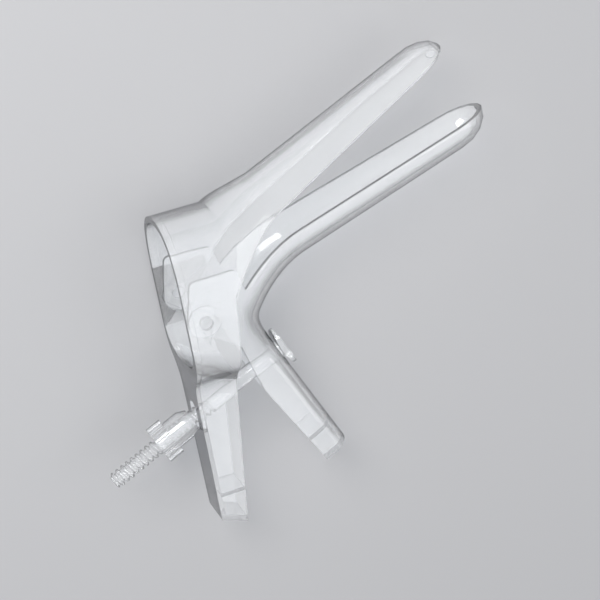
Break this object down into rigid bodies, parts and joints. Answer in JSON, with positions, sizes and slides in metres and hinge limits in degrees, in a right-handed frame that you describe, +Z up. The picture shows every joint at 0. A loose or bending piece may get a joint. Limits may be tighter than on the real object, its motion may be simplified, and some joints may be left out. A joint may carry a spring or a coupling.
{
  "type": "bivalve speculum",
  "caption": "Disposable clear plastic duck-bill vaginal speculum: two hinged blades with handles, locked open by a threaded rod and nut.",
  "frame": {"origin": "on the pivot axis, on the outer flat face of the arm that the speculum lies on", "axes": "+X forward along the lower blade, +Y from the lower blade towards the upper one, +Z up, across the width of the blades"},
  "size_m": [0.199, 0.134, 0.042],
  "materials": {
    "clear_polystyrene": "clear glossy moulded polystyrene",
    "clear_screw": "clear glossy moulded polystyrene",
    "clear_nut": "clear glossy moulded polystyrene"
  },
  "bodies": {
    "lower_valve": {"lower_valve": "clear_polystyrene"},
    "upper_valve": {"upper_valve": "clear_polystyrene"},
    "lock_screw": {"lock_screw": "clear_screw"},
    "lock_nut": {"lock_nut": "clear_nut"}
  },
  "joints": [
    {"name": "valve_pivot", "type": "hinge", "parent": "lower_valve", "child": "upper_valve", "pos_m": [0, 0, 0.021], "axis": [0, 0, 1], "range_deg": [-12.5, 10]},
    {"name": "screw_swing", "type": "hinge", "parent": "lower_valve", "child": "lock_screw", "pos_m": [0.02202, -0.03528, 0.021], "axis": [0, 0, 1], "range_deg": [-7.7, 6.2]},
    {"name": "nut_travel", "type": "slide", "parent": "lock_screw", "child": "lock_nut", "axis": [-0.9903, -0.1392, 0], "range_m": [-0.0072, 0.009]}
  ],
  "couplings": [
    {"joint": "screw_swing", "follows": "valve_pivot", "ratio": 0.605},
    {"joint": "nut_travel", "follows": "valve_pivot", "m_per_rad": -0.0404}
  ]
}
